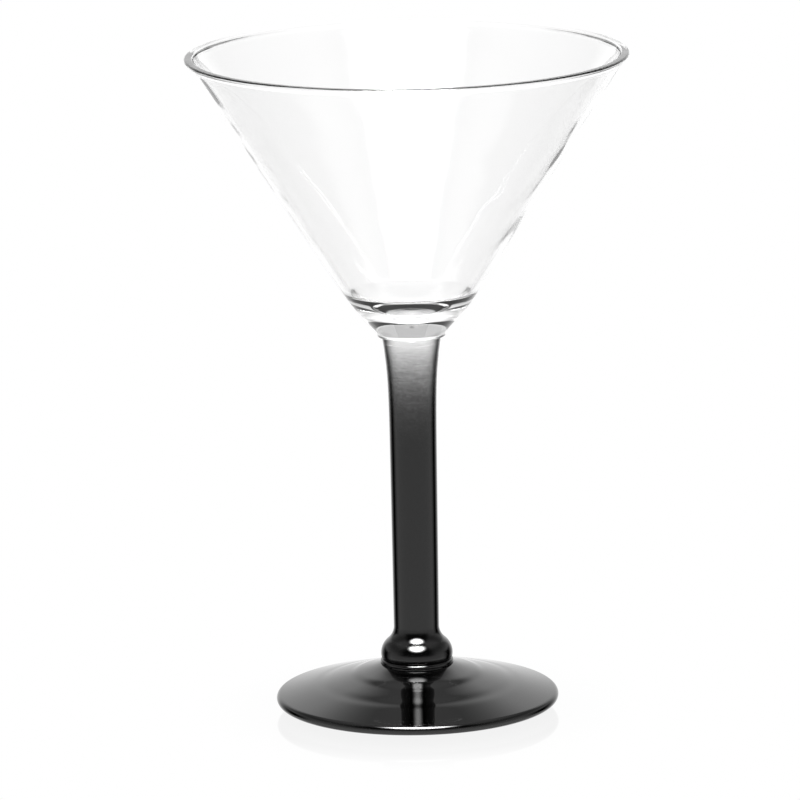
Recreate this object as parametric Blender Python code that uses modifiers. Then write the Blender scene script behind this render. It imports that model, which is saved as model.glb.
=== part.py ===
"""Martini glass: a conical bowl, a drawn stem, a knop and a low conical foot, fused end to end.

Metres, +Z up. The origin is the bottom centre of the foot, on the surface the glass stands on.
Every piece is turned about Z, so each one is a profile of (radius, height) points with a Screw
modifier. A profile runs from the top of its outer side to the bottom, as a Screw needs.
"""

from math import acos, atan, atan2, cos, exp, radians, sin, sqrt

import bpy

# Whole glass
GLASS_HEIGHT = 0.1664
RIM_RADIUS = 0.0555            # widest ring of the rim bead
FOOT_RADIUS = 0.03585          # widest ring of the foot
STEM_RADIUS = 0.00602          # where the flare under the bowl dies out
KNOP_RADIUS = 0.00912

# Bowl
CONE_SLOPE = 0.636             # radius gained for each unit of height
OUTER_APEX_Z = 0.0793          # where the outer cone would meet the axis
WALL = 0.0015                  # glass thickness, square to the cone
RIM_OUTER_ROUND = 0.00045      # fire-polished corners of the rim
RIM_INNER_ROUND = 0.0007
RIM_BULGE = 0.00005            # how far the inner rounding stands proud of the inner wall
INSIDE_BOTTOM_Z = 0.1029       # lowest point inside the bowl
INSIDE_DISH = 0.0350           # radius of the hollow of the floor inside
INSIDE_CORNER = 0.0020         # rounding between the floor and the wall
BASE_START_Z = 0.1044          # the outer cone draws in towards the boss below this height
BASE_START_PULL = 0.0030       # how strongly the curve keeps to the cone at its upper end
BASE_END_TURN = (0.0096, 0.0970)
BOSS_RADIUS = 0.0086           # edge of the ledge over the stem
BOSS_TOP_Z = 0.0956
BOWL_BASE_Z = 0.09495

# Stem
STEM_TOP_Z = 0.09465
STEM_BOTTOM_Z = 0.01975
STEM_TAPER = 0.0040            # radius lost for each unit of height, towards the knop
TOP_FLARE = 0.0014             # extra radius where the stem meets the bowl
TOP_FLARE_LENGTH = 0.0076
TOP_FLARE_POWER = 1.3          # above 1, so that the flare dies out softly
STEM_STEPS = 9

# Knop
KNOP_TOP_Z = 0.01945
KNOP_FILLET = 0.0044           # radius of the hollow curve from the stem into the shoulder
KNOP_TURN = radians(50.6)       # the fillet turns out by this much, and the shoulder turns back
KNOP_WAIST_RADIUS = 0.0088     # groove over the lip
KNOP_WAIST_Z = 0.0112
LIP_RADIUS = 0.0093            # ring of glass squeezed out at the joint with the foot
LIP_THICKNESS = 0.0008
KNOP_BOTTOM_Z = 0.01005

# Foot
FOOT_TOP_Z = 0.00975
SEAT_RADIUS = 0.0092           # flat seat under the knop
FOOT_SAG = 0.00028             # how far the upper face dips below a straight cone
EDGE_RADIUS = 0.0013           # half-round edge
EDGE_START = radians(74)       # the upper face meets the edge square to this direction
RING_RADIUS = 0.0330           # inner edge of the flat ring that the glass stands on
HOLLOW_HEIGHT = 0.0010         # shallow hollow inside that ring

FACETS = 64                    # steps around the axis


def arc(centre, radius, start, end, steps):
    """Points of an arc, both ends included, with angles measured from +X in the profile plane."""
    points = []
    for step in range(steps + 1):
        angle = start + (end - start) * step / steps
        points.append((centre[0] + radius * cos(angle), centre[1] + radius * sin(angle)))
    return points


def sagging_line(start, end, sag, steps):
    """Points of a line that dips by sag halfway, as a shallow parabola, both ends included."""
    points = []
    for step in range(steps + 1):
        t = step / steps
        radius = start[0] + (end[0] - start[0]) * t
        height = start[1] + (end[1] - start[1]) * t - 4 * sag * t * (1 - t)
        points.append((radius, height))
    return points


def curve(start, pull_start, pull_end, end, steps):
    """Points of a cubic curve, both ends included."""
    points = []
    for step in range(steps + 1):
        t = step / steps
        weights = ((1 - t) ** 3, 3 * t * (1 - t) ** 2, 3 * t * t * (1 - t), t ** 3)
        radius = sum(w * p[0] for w, p in zip(weights, (start, pull_start, pull_end, end)))
        height = sum(w * p[1] for w, p in zip(weights, (start, pull_start, pull_end, end)))
        points.append((radius, height))
    return points


def bowl_profile():
    """Up the inside from its lowest point, over the rim, and down the outside to the ledge."""
    half_angle = atan(CONE_SLOPE)
    inner_apex = OUTER_APEX_Z + WALL / sin(half_angle)

    # The floor inside is a shallow dish, and a rounding leads from it into the inner cone.
    # The rounding's centre is INSIDE_DISH - INSIDE_CORNER from the centre of the dish.
    dish_height = INSIDE_BOTTOM_Z + INSIDE_DISH
    offset = INSIDE_CORNER / cos(half_angle) + CONE_SLOPE * inner_apex
    a = 1 + CONE_SLOPE ** 2
    b = CONE_SLOPE * offset + dish_height
    c = offset ** 2 + dish_height ** 2 - (INSIDE_DISH - INSIDE_CORNER) ** 2
    corner_height = (b - sqrt(b * b - a * c)) / a
    corner_radius = CONE_SLOPE * corner_height - offset
    turn = atan2(corner_height - dish_height, corner_radius)
    inside = arc((0.0, dish_height), INSIDE_DISH, radians(-90), turn, 4)
    inside += arc((corner_radius, corner_height), INSIDE_CORNER, turn, -half_angle, 4)[1:]

    # The inner rounding starts where it crosses the inner wall, and ends at the flat top.
    inner_height = GLASS_HEIGHT - RIM_INNER_ROUND
    off_wall = RIM_INNER_ROUND - RIM_BULGE
    inner_centre = (CONE_SLOPE * (inner_height - inner_apex) + off_wall / cos(half_angle), inner_height)
    crossing = radians(180) - half_angle + acos(off_wall / RIM_INNER_ROUND)
    rim = arc(inner_centre, RIM_INNER_ROUND, crossing, radians(90), 6)
    outer_centre = (RIM_RADIUS - RIM_OUTER_ROUND, GLASS_HEIGHT - RIM_OUTER_ROUND)
    rim += arc(outer_centre, RIM_OUTER_ROUND, radians(90), radians(-60), 5)

    wall_top_z = GLASS_HEIGHT - 0.002
    outer_wall = [
        (CONE_SLOPE * (wall_top_z - OUTER_APEX_Z), wall_top_z),
        (CONE_SLOPE * (BASE_START_Z - OUTER_APEX_Z), BASE_START_Z),
    ]
    pull = (outer_wall[1][0] - CONE_SLOPE * BASE_START_PULL, BASE_START_Z - BASE_START_PULL)
    base = curve(outer_wall[1], pull, BASE_END_TURN, (BOSS_RADIUS, BOSS_TOP_Z), 4)
    ledge = [(BOSS_RADIUS, BOWL_BASE_Z), (0.0, BOWL_BASE_Z)]
    return inside + rim + outer_wall[:1] + base + ledge


def stem_radius(height):
    """A slow taper, plus the flare under the bowl."""
    below_top = STEM_TOP_Z - height
    taper = STEM_TAPER * (below_top - TOP_FLARE_LENGTH)
    flare = TOP_FLARE * exp(-((below_top / TOP_FLARE_LENGTH) ** TOP_FLARE_POWER))
    return STEM_RADIUS - taper + flare


def stem_profile():
    """Solid drawn stem. The rings stand closer together in the flare."""
    points = [(0.0, STEM_TOP_Z)]
    for step in range(STEM_STEPS + 1):
        height = STEM_TOP_Z - (STEM_TOP_Z - STEM_BOTTOM_Z) * (step / STEM_STEPS) ** 2
        points.append((stem_radius(height), height))
    points.append((0.0, STEM_BOTTOM_Z))
    return points


def knop_profile():
    """A hollow fillet, a round shoulder, a groove and the lip at the joint with the foot."""
    neck_radius = stem_radius(KNOP_TOP_Z)
    fillet_centre = (neck_radius + KNOP_FILLET, KNOP_TOP_Z)
    turned = radians(180) + KNOP_TURN
    fillet = arc(fillet_centre, KNOP_FILLET, radians(180), turned, 6)

    # The shoulder starts where the fillet ends and grows to the knop's full radius.
    shoulder_radius = (KNOP_RADIUS - fillet[-1][0]) / (1 - cos(KNOP_TURN))
    shoulder_centre = (KNOP_RADIUS - shoulder_radius, fillet[-1][1] - shoulder_radius * sin(KNOP_TURN))
    shoulder = arc(shoulder_centre, shoulder_radius, KNOP_TURN, 0.0, 6)

    lip_centre = (LIP_RADIUS - LIP_THICKNESS / 2, KNOP_BOTTOM_Z + LIP_THICKNESS / 2)
    lip = arc(lip_centre, LIP_THICKNESS / 2, radians(90), radians(-90), 5)
    waist = (KNOP_WAIST_RADIUS, KNOP_WAIST_Z)
    return [(0.0, KNOP_TOP_Z)] + fillet + shoulder[1:] + [waist] + lip + [(0.0, KNOP_BOTTOM_Z)]


def foot_profile():
    """A low cone with a half-round edge, a flat resting ring and a shallow hollow inside it."""
    edge_centre = (FOOT_RADIUS - EDGE_RADIUS, EDGE_RADIUS)
    edge = arc(edge_centre, EDGE_RADIUS, EDGE_START, radians(-90), 9)
    upper_face = sagging_line((SEAT_RADIUS, FOOT_TOP_Z), edge[0], FOOT_SAG, 6)
    underside = [(RING_RADIUS, 0.0)]
    for step in range(1, 4):
        radius = RING_RADIUS * (1 - step / 3)
        underside.append((radius, HOLLOW_HEIGHT * (1 - (radius / RING_RADIUS) ** 2)))
    return [(0.0, FOOT_TOP_Z)] + upper_face + edge[1:] + underside


def glass_material(name, colour, roughness, transmission):
    """Glass, clear or lacquered: the lacquer tints it and lets only part of the light through."""
    material = bpy.data.materials.new(name)
    material.use_nodes = True
    shader = material.node_tree.nodes["Principled BSDF"]
    shader.inputs["Base Color"].default_value = colour
    shader.inputs["Metallic"].default_value = 0.0
    shader.inputs["Roughness"].default_value = roughness
    shader.inputs["IOR"].default_value = 1.52
    shader.inputs["Transmission Weight"].default_value = transmission
    material.diffuse_color = colour
    return material


def turned_piece(name, profile, material, collection):
    """One solid of revolution, as a profile with a Screw modifier."""
    mesh = bpy.data.meshes.new(name)
    vertices = [(radius, 0.0, height) for radius, height in profile]
    edges = [(index, index + 1) for index in range(len(vertices) - 1)]
    mesh.from_pydata(vertices, edges, [])
    mesh.materials.append(material)
    piece = bpy.data.objects.new(name, mesh)
    collection.objects.link(piece)

    screw = piece.modifiers.new("Turning", "SCREW")
    screw.axis = "Z"
    screw.steps = FACETS
    screw.render_steps = FACETS
    screw.use_merge_vertices = True
    screw.merge_threshold = 0.000001
    screw.use_smooth_shade = True
    return piece


def build():
    for leftover in list(bpy.data.objects):
        bpy.data.objects.remove(leftover)
    collection = bpy.data.collections.new("martini_glass")
    bpy.context.scene.collection.children.link(collection)

    clear = glass_material("clear_glass", (0.93, 0.95, 0.95, 1.0), 0.02, 1.0)
    lacquered = glass_material("black_lacquered_glass", (0.03, 0.03, 0.032, 1.0), 0.05, 0.3)
    turned_piece("bowl", bowl_profile(), clear, collection)
    turned_piece("stem", stem_profile(), lacquered, collection)
    turned_piece("knop", knop_profile(), lacquered, collection)
    turned_piece("foot", foot_profile(), lacquered, collection)


build()
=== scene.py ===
"""Looks of the martini glass: clear bowl, and a stem, knop and foot sprayed with black lacquer.

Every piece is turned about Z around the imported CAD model. Metres, +Z up, and the glass stands
on z = 0. The camera looks along +Y, so -Y is the front.
"""

from math import acos, atan, atan2, cos, exp, pi, radians, sin, sqrt

import bpy
from mathutils import Matrix, Vector


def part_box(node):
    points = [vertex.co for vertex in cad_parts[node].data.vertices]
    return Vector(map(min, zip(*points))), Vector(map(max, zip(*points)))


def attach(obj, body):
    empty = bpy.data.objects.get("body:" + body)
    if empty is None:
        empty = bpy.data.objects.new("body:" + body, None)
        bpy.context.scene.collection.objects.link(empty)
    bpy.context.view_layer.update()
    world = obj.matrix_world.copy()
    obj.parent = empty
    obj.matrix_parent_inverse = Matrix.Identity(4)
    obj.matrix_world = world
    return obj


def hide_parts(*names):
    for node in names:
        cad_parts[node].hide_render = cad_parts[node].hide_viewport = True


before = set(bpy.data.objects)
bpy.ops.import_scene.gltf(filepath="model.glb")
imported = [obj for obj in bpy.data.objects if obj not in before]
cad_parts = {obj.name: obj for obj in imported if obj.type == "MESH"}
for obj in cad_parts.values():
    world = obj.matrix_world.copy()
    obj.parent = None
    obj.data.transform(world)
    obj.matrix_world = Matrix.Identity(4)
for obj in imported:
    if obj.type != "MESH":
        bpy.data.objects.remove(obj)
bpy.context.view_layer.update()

# Sizes read from the frame
bowl_low, bowl_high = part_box("bowl")
stem_low, stem_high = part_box("stem")
knop_low, knop_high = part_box("knop")
foot_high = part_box("foot")[1]
GLASS_HEIGHT = bowl_high.z
RIM_RADIUS = bowl_high.x
FOOT_RADIUS = foot_high.x
LIP_RADIUS = knop_high.x

# The CAD keeps a gap at each weld. Here the pieces meet halfway across it.
BOWL_WELD_Z = (bowl_low.z + stem_high.z) / 2
KNOP_WELD_Z = (stem_low.z + knop_high.z) / 2
FOOT_WELD_Z = (knop_low.z + foot_high.z) / 2

# Bowl
CONE_SLOPE = 0.636             # radius gained for each unit of height
OUTER_APEX_Z = 0.0793          # where the outer cone would meet the axis
WALL = 0.0015                  # glass thickness, square to the cone
RIM_OUTER_ROUND = 0.00045      # fire-polished corners of the rim
RIM_INNER_ROUND = 0.0007
RIM_BULGE = 0.00005            # how far the inner rounding stands proud of the inner wall
UNDER_RIM_DROP = 0.0022        # the outer cone starts this far below the top
UNDER_RIM_PULL = (0.00025, 0.0003)  # inwards and down, from the end of the rim's outer corner
UNDER_RIM_REACH = 0.0007       # how strongly that curve keeps to the cone at its lower end
INSIDE_BOTTOM_Z = 0.1029       # lowest point inside the bowl
INSIDE_DISH = 0.0350           # radius of the hollow of the floor inside
INSIDE_CORNER = 0.0020         # rounding between the floor and the wall
BASE_START_Z = 0.1044          # the outer cone draws in towards the boss below this height
BASE_START_PULL = 0.0030       # how strongly the curve keeps to the cone at its upper end
BASE_END_TURN = (0.0096, 0.0970)  # radius and height that the curve is pulled to at its lower end
BOSS_RADIUS = 0.0086           # edge of the ledge over the stem
BOSS_TOP_Z = 0.0956
BOSS_CORNER = 0.00015          # rounding under the ledge

# Stem
STEM_RADIUS = 0.00602          # where the flare under the bowl dies out
STEM_TAPER = 0.0040            # radius lost for each unit of height, towards the knop
TOP_FLARE = 0.0014             # extra radius where the stem meets the bowl
TOP_FLARE_LENGTH = 0.0076
TOP_FLARE_POWER = 1.3          # above 1, so that the flare dies out softly
STEM_CROWDING = 1.5            # above 1, so that the rings stand closer together in the flare

# Knop
KNOP_RADIUS = 0.00912
KNOP_FILLET = 0.0044           # radius of the hollow curve from the stem into the shoulder
KNOP_TURN = radians(50.6)       # the fillet turns out by this much, and the shoulder turns back
KNOP_WAIST_RADIUS = 0.0088     # groove over the lip
KNOP_WAIST_Z = 0.0112
KNOP_WAIST_PULLS = (0.0003, 0.0001)  # how far above the groove its curve is pulled, at each end
LIP_THICKNESS = 0.0013         # ring of glass squeezed out at the joint with the foot
LIP_START = radians(125)       # its rounding starts inside the groove, in a crease

# Foot
SEAT_RADIUS = 0.0092           # flat seat under the knop
FOOT_RINGS = (                 # pressed ripples: radius, spread and extra slope
    (0.0092, 0.0019, 0.11),
    (0.0160, 0.00075, 0.135),
    (0.0230, 0.0010, 0.035),
    (0.0253, 0.0010, -0.045),
)
EDGE_RADIUS = 0.0013           # half-round edge
EDGE_START = radians(74)       # the upper face meets the edge square to this direction
RING_RADIUS = 0.0330           # inner edge of the flat ring that the glass stands on
HOLLOW_HEIGHT = 0.0010         # shallow hollow inside that ring

# Meshes
SEGMENTS = 256                 # around the axis
ON_AXIS = 1e-9                 # a smaller radius than this is a single point
SHARP_ANGLE = radians(50)      # shading breaks at edges above this

# Clear glass
GLASS_IOR = 1.52
GLASS_TINT = 0.985
WAVE_SCALE = 60.0              # waves in the bowl: how many to a metre, and their height
WAVE_HEIGHT = 0.00032

# Lacquer: two coats let exp(-density) through, and the density grows down the stem from its top
LACQUER_START = 0.12
LACQUER_GAIN = 100.0           # for each metre below the top
LACQUER_GAIN_SQUARED = 4500.0
LACQUER_LIMIT = 7.0            # nothing is seen through more than this
MIST_SCALE = 900.0             # unevenness of the spray: how many to a metre
MIST_STRETCH = (1.0, 1.0, 2.0)  # the patches are half as tall as they are wide
MIST_RAMP = (0.2, 0.8, 0.8, 1.2)  # noise from and to, and the share of the density at each

# Floor: it reflects under the foot, and the reflection dies out around it
MIRROR_DEPTH = 0.0023          # the mirror lies this far below the surface that the glass stands on
MIRROR_SHARE = 0.15            # under the foot
MIRROR_INSET = 0.006           # it starts to die out this far inside the foot's edge
MIRROR_FADE = 0.024            # and ends this far outside it
MIRROR_ROUGHNESS = 0.05
FLOOR_HALF_WIDTH = 6.0

# Studio: smooth ramps, as angles from and to in degrees and the level at each. Two angles alone
# go from 0 to 1. The camera itself sees a brightness of 1.
STUDIO_LEVEL = 0.8             # of everything that lights the glass
BACKDROP_FOOT = (-4.0, 6.0, 1.32, 1.42)
BACKDROP_TOP = (29.0, 46.0, 1.0, 0.2)
BACKDROP_SIDE = (20.0, 60.0, 1.0, 0.0)
TABLE = (-26.0, -6.0, 1.4, 0.9)
WALLS = (-4.0, 36.0, 1.0, 0.4)
CEILING = (36.0, 60.0, 1.0, 2.0)
FRONT_SIDE = (105.0, 140.0)
FRONT_RISE = (-2.0, 18.0)
FRONT_DARKENING = 0.85
GAP_SIDE = (62.0, 92.0)
GAP_TOP = (2.0, 14.0)
GAP_FOOT = (-23.0, -18.0, 0.68, 0.0)
SOFTBOX_DIRECTION = (0.0, -cos(radians(61)), sin(radians(61)))
SOFTBOX_BRIGHTNESS = 60.0
SOFTBOX_EDGE = (12.0, 33.0, 1.0, 0.0)
SOFTBOX_SOFTNESS = 3.0         # power that rounds off the edge

# Camera
CAMERA_ELEVATION = radians(12.07)
CAMERA_DISTANCE = 1.617
CAMERA_TARGET_Z = 0.0824       # height on the axis that the distance is measured from
CAMERA_AIM = Vector((-0.00315, -0.0009, 0.0783))
CAMERA_ROLL = radians(1.026)
CAMERA_LENS = 288.9            # millimetres
CAMERA_SENSOR = 36.0           # millimetres


def arc(centre, radius, start, end, steps):
    """Points of an arc, both ends included, with angles measured from +X in the profile plane."""
    points = []
    for step in range(steps + 1):
        angle = start + (end - start) * step / steps
        points.append((centre[0] + radius * cos(angle), centre[1] + radius * sin(angle)))
    return points


def line(start, end, steps):
    """Points of a line, both ends included."""
    points = []
    for step in range(steps + 1):
        t = step / steps
        points.append((start[0] + (end[0] - start[0]) * t, start[1] + (end[1] - start[1]) * t))
    return points


def bezier(p0, p1, p2, p3, steps):
    """Points of a cubic curve, both ends included."""
    points = []
    for step in range(steps + 1):
        t = step / steps
        u = 1 - t
        weights = (u ** 3, 3 * u * u * t, 3 * u * t * t, t ** 3)
        points.append(tuple(
            sum(w * p[axis] for w, p in zip(weights, (p0, p1, p2, p3))) for axis in (0, 1)
        ))
    return points


def bowl_profile():
    """Up the inside, over the rim, down the outside to the ledge, and the weld face to the axis."""
    half_angle = atan(CONE_SLOPE)
    inner_apex = OUTER_APEX_Z + WALL / sin(half_angle)

    # The floor inside is a shallow dish, and a rounding leads from it into the inner cone.
    # The rounding's centre is INSIDE_DISH - INSIDE_CORNER from the centre of the dish.
    dish_height = INSIDE_BOTTOM_Z + INSIDE_DISH
    offset = INSIDE_CORNER / cos(half_angle) + CONE_SLOPE * inner_apex
    a = 1 + CONE_SLOPE ** 2
    b = CONE_SLOPE * offset + dish_height
    c = offset ** 2 + dish_height ** 2 - (INSIDE_DISH - INSIDE_CORNER) ** 2
    corner_height = (b - sqrt(b * b - a * c)) / a
    corner_radius = CONE_SLOPE * corner_height - offset
    turn = atan2(corner_height - dish_height, corner_radius)
    inside = arc((0.0, dish_height), INSIDE_DISH, radians(-90), turn, 8)
    inside += arc((corner_radius, corner_height), INSIDE_CORNER, turn, -half_angle, 16)[1:]

    # The inner rounding starts where it crosses the inner wall, and ends at the flat top.
    inner_height = GLASS_HEIGHT - RIM_INNER_ROUND
    off_wall = RIM_INNER_ROUND - RIM_BULGE
    inner_centre = (CONE_SLOPE * (inner_height - inner_apex) + off_wall / cos(half_angle), inner_height)
    crossing = radians(180) - half_angle + acos(off_wall / RIM_INNER_ROUND)
    rim = arc(inner_centre, RIM_INNER_ROUND, crossing, radians(90), 16)
    outer_centre = (RIM_RADIUS - RIM_OUTER_ROUND, GLASS_HEIGHT - RIM_OUTER_ROUND)
    rim += arc(outer_centre, RIM_OUTER_ROUND, radians(90), radians(-50), 12)

    wall_top_z = GLASS_HEIGHT - UNDER_RIM_DROP
    wall_top = (CONE_SLOPE * (wall_top_z - OUTER_APEX_Z), wall_top_z)
    under_rim = bezier(
        rim[-1],
        (rim[-1][0] - UNDER_RIM_PULL[0], rim[-1][1] - UNDER_RIM_PULL[1]),
        (wall_top[0] + CONE_SLOPE * UNDER_RIM_REACH, wall_top[1] + UNDER_RIM_REACH),
        wall_top,
        6,
    )
    base_start = (CONE_SLOPE * (BASE_START_Z - OUTER_APEX_Z), BASE_START_Z)
    pull = (base_start[0] - CONE_SLOPE * BASE_START_PULL, BASE_START_Z - BASE_START_PULL)
    base = bezier(base_start, pull, BASE_END_TURN, (BOSS_RADIUS, BOSS_TOP_Z), 16)
    corner_centre = (BOSS_RADIUS - BOSS_CORNER, BOWL_WELD_Z + BOSS_CORNER)
    corner = arc(corner_centre, BOSS_CORNER, 0.0, radians(-90), 5)
    ledge = (stem_radius(BOWL_WELD_Z), BOWL_WELD_Z)

    glass = inside + line(inside[-1], rim[0], 40)[1:] + rim[1:] + under_rim[1:]
    glass += line(wall_top, base_start, 40)[1:] + base[1:] + corner + [ledge]
    return [("glass", glass), ("weld", [ledge, (0.0, BOWL_WELD_Z)])]


def stem_radius(height):
    """A slow taper, plus the flare under the bowl."""
    below_top = max(0.0, BOWL_WELD_Z - height)
    taper = STEM_TAPER * (below_top - TOP_FLARE_LENGTH)
    flare = TOP_FLARE * exp(-((below_top / TOP_FLARE_LENGTH) ** TOP_FLARE_POWER))
    return STEM_RADIUS - taper + flare


def stem_profile():
    """Solid drawn stem, from the weld under the bowl to the weld on the knop."""
    rings = []
    steps = 60
    for step in range(steps + 1):
        height = BOWL_WELD_Z - (BOWL_WELD_Z - KNOP_WELD_Z) * (step / steps) ** STEM_CROWDING
        rings.append((stem_radius(height), height))
    top = [(0.0, BOWL_WELD_Z), rings[0]]
    bottom = [rings[-1], (0.0, KNOP_WELD_Z)]
    return [("weld", top), ("glass", rings), ("weld", bottom)]


def knop_profile():
    """A hollow fillet, a round shoulder, a groove and the lip at the joint with the foot."""
    neck = stem_radius(KNOP_WELD_Z)
    turned = radians(180) + KNOP_TURN
    fillet = arc((neck + KNOP_FILLET, KNOP_WELD_Z), KNOP_FILLET, radians(180), turned, 20)

    # The shoulder starts where the fillet ends and grows to the knop's full radius.
    shoulder_radius = (KNOP_RADIUS - fillet[-1][0]) / (1 - cos(KNOP_TURN))
    shoulder_centre = (KNOP_RADIUS - shoulder_radius, fillet[-1][1] - shoulder_radius * sin(KNOP_TURN))
    shoulder = arc(shoulder_centre, shoulder_radius, KNOP_TURN, 0.0, 28)

    lip_centre = (LIP_RADIUS - LIP_THICKNESS / 2, FOOT_WELD_Z + LIP_THICKNESS / 2)
    lip = arc(lip_centre, LIP_THICKNESS / 2, LIP_START, radians(-90), 14)
    waist = bezier(
        shoulder[-1],
        (KNOP_RADIUS, KNOP_WAIST_Z + KNOP_WAIST_PULLS[0]),
        (KNOP_WAIST_RADIUS, KNOP_WAIST_Z + KNOP_WAIST_PULLS[1]),
        lip[0],
        10,
    )
    glass = fillet + shoulder[1:] + waist[1:] + lip[1:]
    top = [(0.0, KNOP_WELD_Z), fillet[0]]
    bottom = [lip[-1], (0.0, FOOT_WELD_Z)]
    return [("weld", top), ("glass", glass), ("weld", bottom)]


def foot_profile():
    """A low rippled cone, a half-round edge, a flat resting ring and a shallow hollow inside it."""
    edge = arc((FOOT_RADIUS - EDGE_RADIUS, EDGE_RADIUS), EDGE_RADIUS, EDGE_START, radians(-90), 24)

    # The upper face is a low cone. Its ripples come from the slope, summed up from the edge inwards.
    steps = 160
    width = (edge[0][0] - SEAT_RADIUS) / steps
    rise = 0.0
    rises = [rise]
    for step in range(steps):
        radius = edge[0][0] - (step + 0.5) * width
        for centre, spread, slope in FOOT_RINGS:
            rise += slope * exp(-0.5 * ((radius - centre) / spread) ** 2) * width
        rises.append(rise)
    cone_rise = FOOT_WELD_Z - edge[0][1] - rise
    upper_face = []
    for step in range(steps, -1, -1):
        height = edge[0][1] + cone_rise * step / steps + rises[step]
        upper_face.append((edge[0][0] - step * width, height))

    underside = []
    steps = 16
    for step in range(steps + 1):
        radius = RING_RADIUS * (1 - step / steps)
        underside.append((radius, HOLLOW_HEIGHT * (1 - (radius / RING_RADIUS) ** 2)))
    seat = [(0.0, FOOT_WELD_Z), upper_face[0]]
    return [("weld", seat), ("glass", upper_face + edge[1:] + underside)]


def turned_piece(name, runs, materials):
    """A closed solid of revolution. Each run of the profile has its own material."""
    points, slots = [runs[0][1][0]], []
    for kind, run in runs:
        points += run[1:]
        slots += [list(materials).index(kind)] * (len(run) - 1)
    vertices, rings = [], []
    for radius, height in points:
        if radius < ON_AXIS:
            rings.append([len(vertices)] * SEGMENTS)
            vertices.append((0.0, 0.0, height))
            continue
        rings.append(range(len(vertices), len(vertices) + SEGMENTS))
        for step in range(SEGMENTS):
            angle = 2 * pi * step / SEGMENTS
            vertices.append((radius * cos(angle), radius * sin(angle), height))
    faces, face_slots = [], []
    for upper, lower, slot in zip(rings, rings[1:], slots):
        for step in range(SEGMENTS):
            after = (step + 1) % SEGMENTS
            corners = (upper[step], lower[step], lower[after], upper[after])
            faces.append(tuple(dict.fromkeys(corners)))
            face_slots.append(slot)
    mesh = bpy.data.meshes.new(name)
    mesh.from_pydata(vertices, [], faces)
    for material in materials.values():
        mesh.materials.append(material)
    mesh.polygons.foreach_set("material_index", face_slots)
    mesh.shade_smooth()
    mesh.set_sharp_from_angle(angle=SHARP_ANGLE)
    mesh.update()
    piece = bpy.data.objects.new(name, mesh)
    bpy.context.scene.collection.objects.link(piece)
    return piece


class Nodes:
    """Short names for building one node tree."""

    def __init__(self, tree):
        self.tree = tree
        tree.nodes.clear()

    def add(self, kind, inputs=(), **settings):
        node = self.tree.nodes.new(kind)
        for key, value in settings.items():
            setattr(node, key, value)
        for key, value in dict(inputs).items():
            self.plug(node.inputs[key], value)
        return node

    def plug(self, socket, value):
        if isinstance(value, bpy.types.NodeSocket):
            self.tree.links.new(value, socket)
        else:
            socket.default_value = value

    def math(self, operation, first, second=None, third=None):
        values = [v for v in (first, second, third) if v is not None]
        return self.add("ShaderNodeMath", enumerate(values), operation=operation).outputs[0]

    def ramp(self, value, low, high, at_low=0.0, at_high=1.0):
        """Smooth change from at_low to at_high as value goes from low to high."""
        inputs = {"Value": value, "From Min": low, "From Max": high, "To Min": at_low, "To Max": at_high}
        return self.add("ShaderNodeMapRange", inputs, interpolation_type="SMOOTHSTEP").outputs[0]


def clear_glass():
    """Polished glass with the faint, long waves that pressing leaves in its surface."""
    material = bpy.data.materials.new("clear_glass")
    material.use_nodes = True
    n = Nodes(material.node_tree)
    place = n.add("ShaderNodeTexCoord").outputs["Object"]
    waves = n.add("ShaderNodeTexNoise", {"Vector": place, "Scale": WAVE_SCALE, "Detail": 1.0}).outputs[0]
    bump = n.add("ShaderNodeBump", {"Strength": 1.0, "Distance": WAVE_HEIGHT, "Height": waves})
    shader = n.add("ShaderNodeBsdfPrincipled", {
        "Base Color": (GLASS_TINT, GLASS_TINT, GLASS_TINT, 1.0),
        "Roughness": 0.0,
        "IOR": GLASS_IOR,
        "Transmission Weight": 1.0,
        "Normal": bump.outputs[0],
    })
    n.add("ShaderNodeOutputMaterial", {"Surface": shader.outputs[0]})
    return material


def lacquered_glass():
    """Black lacquer over glass, thicker further down the stem and slightly uneven.

    The shader takes the root of its base colour at each surface, so the base colour is what two
    coats let through.
    """
    material = bpy.data.materials.new("black_lacquered_glass")
    material.use_nodes = True
    n = Nodes(material.node_tree)
    place = n.add("ShaderNodeTexCoord").outputs["Object"]
    height = n.add("ShaderNodeSeparateXYZ", {0: place}).outputs["Z"]
    flat = n.add("ShaderNodeVectorMath", {0: place, 1: MIST_STRETCH}, operation="MULTIPLY").outputs[0]
    mist = n.add("ShaderNodeTexNoise", {"Vector": flat, "Scale": MIST_SCALE, "Detail": 3.0}).outputs[0]
    depth = n.math("MAXIMUM", n.math("SUBTRACT", BOWL_WELD_Z, height), 0.0)
    density = n.math("MULTIPLY_ADD", depth, LACQUER_GAIN_SQUARED, LACQUER_GAIN)
    density = n.math("MULTIPLY_ADD", density, depth, LACQUER_START)
    density = n.math("MULTIPLY", density, n.ramp(mist, *MIST_RAMP))
    density = n.math("MINIMUM", density, LACQUER_LIMIT)
    through = n.math("EXPONENT", n.math("MULTIPLY", density, -1.0))
    colour = n.add("ShaderNodeCombineColor", {0: through, 1: through, 2: through}).outputs[0]
    shader = n.add("ShaderNodeBsdfPrincipled", {
        "Base Color": colour,
        "Roughness": 0.0,
        "IOR": GLASS_IOR,
        "Transmission Weight": 1.0,
    })
    n.add("ShaderNodeOutputMaterial", {"Surface": shader.outputs[0]})
    return material


def weld_face():
    """The inside of a weld, where the glass runs through without a surface."""
    material = bpy.data.materials.new("weld_face")
    material.use_nodes = True
    n = Nodes(material.node_tree)
    shader = n.add("ShaderNodeBsdfPrincipled", {"Alpha": 0.0, "Specular IOR Level": 0.0})
    n.add("ShaderNodeOutputMaterial", {"Surface": shader.outputs[0]})
    return material


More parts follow.
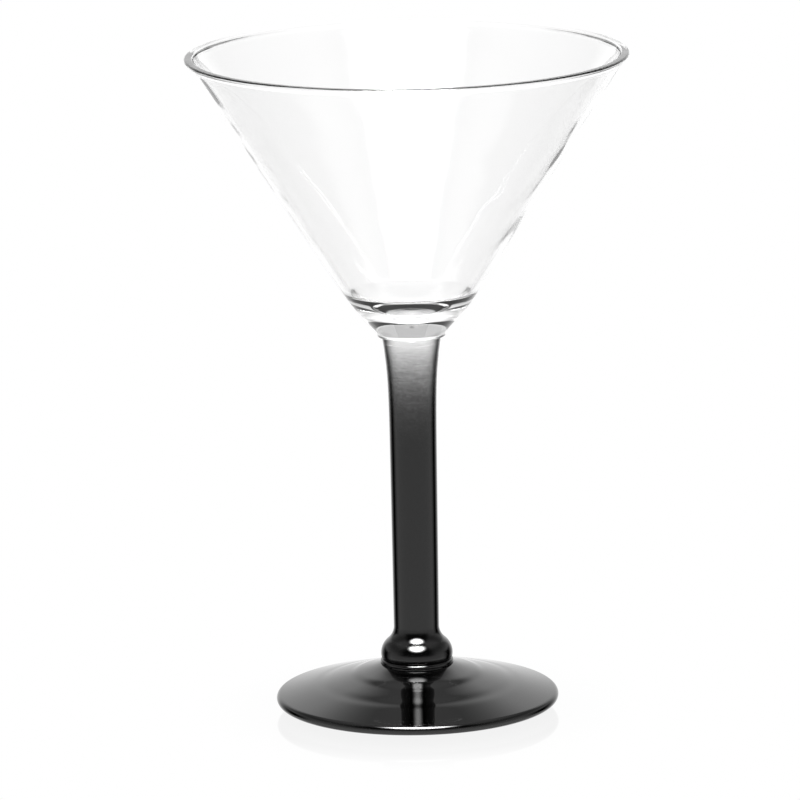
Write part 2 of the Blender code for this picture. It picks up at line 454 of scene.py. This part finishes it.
def build_glass():
    """The four pieces. Each rides on the one body and stands in for the CAD node of its name."""
    clear, lacquered, weld = clear_glass(), lacquered_glass(), weld_face()
    for name, runs, glass, slot in (
        ("bowl", bowl_profile(), clear, "clear_glass"),
        ("stem", stem_profile(), lacquered, "black_lacquered_glass"),
        ("knop", knop_profile(), lacquered, "black_lacquered_glass"),
        ("foot", foot_profile(), lacquered, "black_lacquered_glass"),
    ):
        piece = turned_piece("glass_" + name, runs, {"glass": glass, "weld": weld})
        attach(piece, "root")
        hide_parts(name)


def build_floor():
    """A floor that only the camera sees, as plain white with a faint mirror image of the foot.

    It lies a little below the foot, as the mirror image does under a clear sheet.
    """
    mesh = bpy.data.meshes.new("floor")
    half = FLOOR_HALF_WIDTH
    corners = [(-half, -half, 0), (half, -half, 0), (half, half, 0), (-half, half, 0)]
    mesh.from_pydata(corners, [], [(0, 1, 2, 3)])
    floor = bpy.data.objects.new("floor", mesh)
    floor.location.z = -MIRROR_DEPTH
    bpy.context.scene.collection.objects.link(floor)

    material = bpy.data.materials.new("white_floor")
    material.use_nodes = True
    n = Nodes(material.node_tree)
    place = n.add("ShaderNodeTexCoord").outputs["Object"]
    reach = n.add("ShaderNodeVectorMath", {0: place}, operation="LENGTH").outputs["Value"]
    share = n.ramp(reach, FOOT_RADIUS - MIRROR_INSET, FOOT_RADIUS + MIRROR_FADE, MIRROR_SHARE, 0.0)
    lit = n.add("ShaderNodeEmission", {"Strength": 1.0}).outputs[0]
    mirror = n.add("ShaderNodeBsdfGlossy", {"Roughness": MIRROR_ROUGHNESS}).outputs[0]
    seen = n.add("ShaderNodeMixShader", {0: share, 1: lit, 2: mirror}).outputs[0]
    unseen = n.add("ShaderNodeBsdfTransparent").outputs[0]
    camera_ray = n.add("ShaderNodeLightPath").outputs["Is Camera Ray"]
    surface = n.add("ShaderNodeMixShader", {0: camera_ray, 1: unseen, 2: seen}).outputs[0]
    n.add("ShaderNodeOutputMaterial", {"Surface": surface})
    mesh.materials.append(material)


def build_world():
    """The studio as the glass sees it: a white backdrop, a table, a room and one softbox.

    The camera itself sees plain white. Angles are in degrees: elevation above the horizon, and
    azimuth to either side of the middle of the backdrop, which is straight behind the glass.
    """
    world = bpy.data.worlds.new("studio")
    bpy.context.scene.world = world
    world.use_nodes = True
    n = Nodes(world.node_tree)
    direction = n.add("ShaderNodeTexCoord").outputs["Generated"]
    xyz = n.add("ShaderNodeSeparateXYZ", {0: direction}).outputs
    elevation = n.math("DEGREES", n.math("ARCSINE", xyz["Z"]))
    azimuth = n.math("ABSOLUTE", n.math("DEGREES", n.math("ARCTAN2", xyz["X"], xyz["Y"])))

    # Backdrop: a white sweep that fades out at its top and sides
    backdrop = n.ramp(elevation, *BACKDROP_FOOT)
    backdrop = n.math("MULTIPLY", backdrop, n.ramp(elevation, *BACKDROP_TOP))
    backdrop = n.math("MULTIPLY", backdrop, n.ramp(azimuth, *BACKDROP_SIDE))

    # Table and room: bright near the glass, dimmer up the walls, and lighter again at the ceiling.
    # The room is dark over the front, and low down beside the backdrop there is a dark gap.
    room = n.ramp(elevation, *TABLE)
    room = n.math("MULTIPLY", room, n.ramp(elevation, *WALLS))
    room = n.math("MULTIPLY", room, n.ramp(elevation, *CEILING))
    front = n.math("MULTIPLY", n.ramp(azimuth, *FRONT_SIDE), n.ramp(elevation, *FRONT_RISE))
    room = n.math("MULTIPLY", room, n.math("MULTIPLY_ADD", front, -FRONT_DARKENING, 1.0))
    outside_gap = n.ramp(azimuth, *GAP_SIDE)
    outside_gap = n.math("MAXIMUM", outside_gap, n.ramp(elevation, *GAP_TOP))
    outside_gap = n.math("MAXIMUM", outside_gap, n.ramp(elevation, *GAP_FOOT))
    room = n.math("MULTIPLY", room, outside_gap)

    # Softbox: round, over the front, with a soft edge
    towards = n.add("ShaderNodeVectorMath", {0: direction, 1: SOFTBOX_DIRECTION}, operation="DOT_PRODUCT")
    off_centre = n.math("DEGREES", n.math("ARCCOSINE", towards.outputs["Value"]))
    softbox = n.math("POWER", n.ramp(off_centre, *SOFTBOX_EDGE), SOFTBOX_SOFTNESS)
    softbox = n.math("MULTIPLY", softbox, SOFTBOX_BRIGHTNESS)

    surroundings = n.math("ADD", n.math("MAXIMUM", backdrop, room), softbox)
    surroundings = n.math("MULTIPLY", surroundings, STUDIO_LEVEL)
    camera_ray = n.add("ShaderNodeLightPath").outputs["Is Camera Ray"]
    strength = n.add("ShaderNodeMix", {0: camera_ray, 2: surroundings, 3: 1.0}).outputs[0]
    background = n.add("ShaderNodeBackground", {"Color": (1.0, 1.0, 1.0, 1.0), "Strength": strength})
    n.add("ShaderNodeOutputWorld", {"Surface": background.outputs[0]})


def build_camera():
    """A long lens from the front, a little above the glass, rolled slightly."""
    camera_data = bpy.data.cameras.new("camera")
    camera_data.sensor_width = CAMERA_SENSOR
    camera_data.lens = CAMERA_LENS
    camera_data.clip_start = 0.01
    camera_data.clip_end = 50.0
    camera = bpy.data.objects.new("camera", camera_data)
    back = Vector((0.0, -cos(CAMERA_ELEVATION), sin(CAMERA_ELEVATION)))
    place = Vector((0.0, 0.0, CAMERA_TARGET_Z)) + back * CAMERA_DISTANCE
    look = (CAMERA_AIM - place).normalized()
    turn = look.to_track_quat("-Z", "Y").to_matrix().to_4x4()
    camera.matrix_world = Matrix.Translation(place) @ turn @ Matrix.Rotation(-CAMERA_ROLL, 4, "Z")
    bpy.context.scene.collection.objects.link(camera)
    bpy.context.scene.camera = camera


def build_scene():
    build_glass()
    build_floor()
    build_world()
    build_camera()
    settings = bpy.context.scene.view_settings
    settings.view_transform = "Standard"
    settings.look = "None"


build_scene()
bpy.context.view_layer.update()
